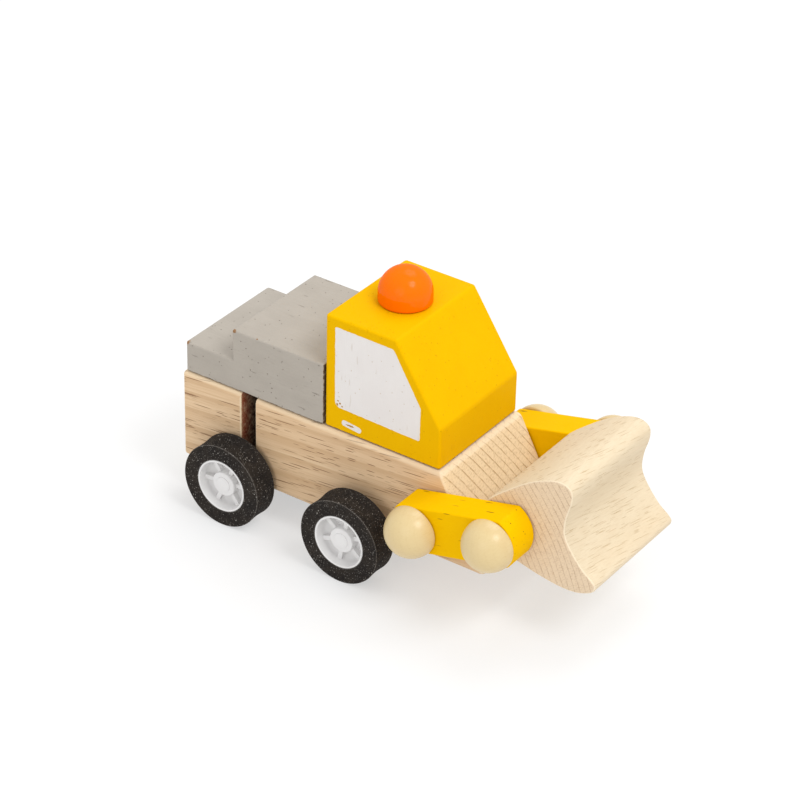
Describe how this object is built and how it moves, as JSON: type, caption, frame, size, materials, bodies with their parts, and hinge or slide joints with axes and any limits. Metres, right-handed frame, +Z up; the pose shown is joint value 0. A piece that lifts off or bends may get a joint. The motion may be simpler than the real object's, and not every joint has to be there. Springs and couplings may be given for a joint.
{
  "type": "toy bulldozer",
  "caption": "Wooden pull-back toy bulldozer on foam tyres, with raised lift arms, a tilting scoop blade, a stepped engine block and a cab with a domed beacon.",
  "frame": {"origin": "on the floor, under the centre of the overall box", "axes": "+X towards the blade, +Y to the toy's left, +Z up from the floor"},
  "size_m": [0.1212, 0.068, 0.0745],
  "materials": {
    "beech": "bare beech, sanded, with short dark pores",
    "pale_wood": "bare pale beech, sanded",
    "peg_wood": "cream wood with a soft lacquer sheen",
    "grey_paint": "wood with thin warm grey paint, small chips at the corners",
    "yellow_paint": "wood with satin deep yellow paint",
    "orange_lacquer": "wood with glossy orange lacquer",
    "white_plastic": "white moulded plastic, slight sheen",
    "black_foam": "black foam rubber with light specks",
    "dark_plastic": "black moulded plastic",
    "gear_plastic": "natural white moulded nylon",
    "steel": "plain bright steel"
  },
  "bodies": {
    "chassis": {"chassis_block": "beech", "engine_block": "grey_paint", "cab_block": "yellow_paint", "beacon": "orange_lacquer", "motor_case": "dark_plastic", "motor_cover": "dark_plastic", "mainspring": "steel", "motor_screw_rear": "steel", "motor_screw_front": "steel", "keeper_screw_rear": "steel", "keeper_screw_front": "steel", "axle_keeper": "dark_plastic", "arm_peg_left": "peg_wood", "arm_peg_right": "peg_wood"},
    "rear_wheels": {"rear_axle": "steel", "axle_pinion": "gear_plastic", "rear_hub_left": "white_plastic", "rear_hub_right": "white_plastic", "rear_tyre_left": "black_foam", "rear_tyre_right": "black_foam"},
    "front_wheels": {"front_axle": "steel", "front_hub_left": "white_plastic", "front_hub_right": "white_plastic", "front_tyre_left": "black_foam", "front_tyre_right": "black_foam"},
    "idler": {"idler_gear": "gear_plastic"},
    "drum": {"drum_gear": "gear_plastic"},
    "lift_arms": {"lift_arm_left": "yellow_paint", "lift_arm_right": "yellow_paint"},
    "blade": {"blade": "pale_wood", "blade_peg_left": "peg_wood", "blade_peg_right": "peg_wood"}
  },
  "joints": [
    {"name": "rear_axle_spin", "type": "hinge", "parent": "chassis", "child": "rear_wheels", "pos_m": [-0.0426, 0, 0.01133], "axis": [0, 1, 0], "continuous": true},
    {"name": "front_axle_spin", "type": "hinge", "parent": "chassis", "child": "front_wheels", "pos_m": [-0.005, 0, 0.01133], "axis": [0, 1, 0], "continuous": true},
    {"name": "idler_spin", "type": "hinge", "parent": "chassis", "child": "idler", "pos_m": [-0.03778, 0, 0.01821], "axis": [0, 1, 0], "continuous": true},
    {"name": "drum_spin", "type": "hinge", "parent": "chassis", "child": "drum", "pos_m": [-0.02802, 0, 0.01736], "axis": [0, 1, 0], "continuous": true},
    {"name": "arms_lift", "type": "hinge", "parent": "chassis", "child": "lift_arms", "pos_m": [0.0155, 0, 0.0227], "axis": [0, -1, 0], "range_deg": [-16, 40]},
    {"name": "blade_tilt", "type": "hinge", "parent": "lift_arms", "child": "blade", "pos_m": [0.03731, 0, 0.02781], "axis": [0, -1, 0], "range_deg": [-20, 35]}
  ],
  "couplings": [
    {"joint": "idler_spin", "follows": "rear_axle_spin", "ratio": -0.5},
    {"joint": "drum_spin", "follows": "rear_axle_spin", "ratio": 0.2}
  ]
}
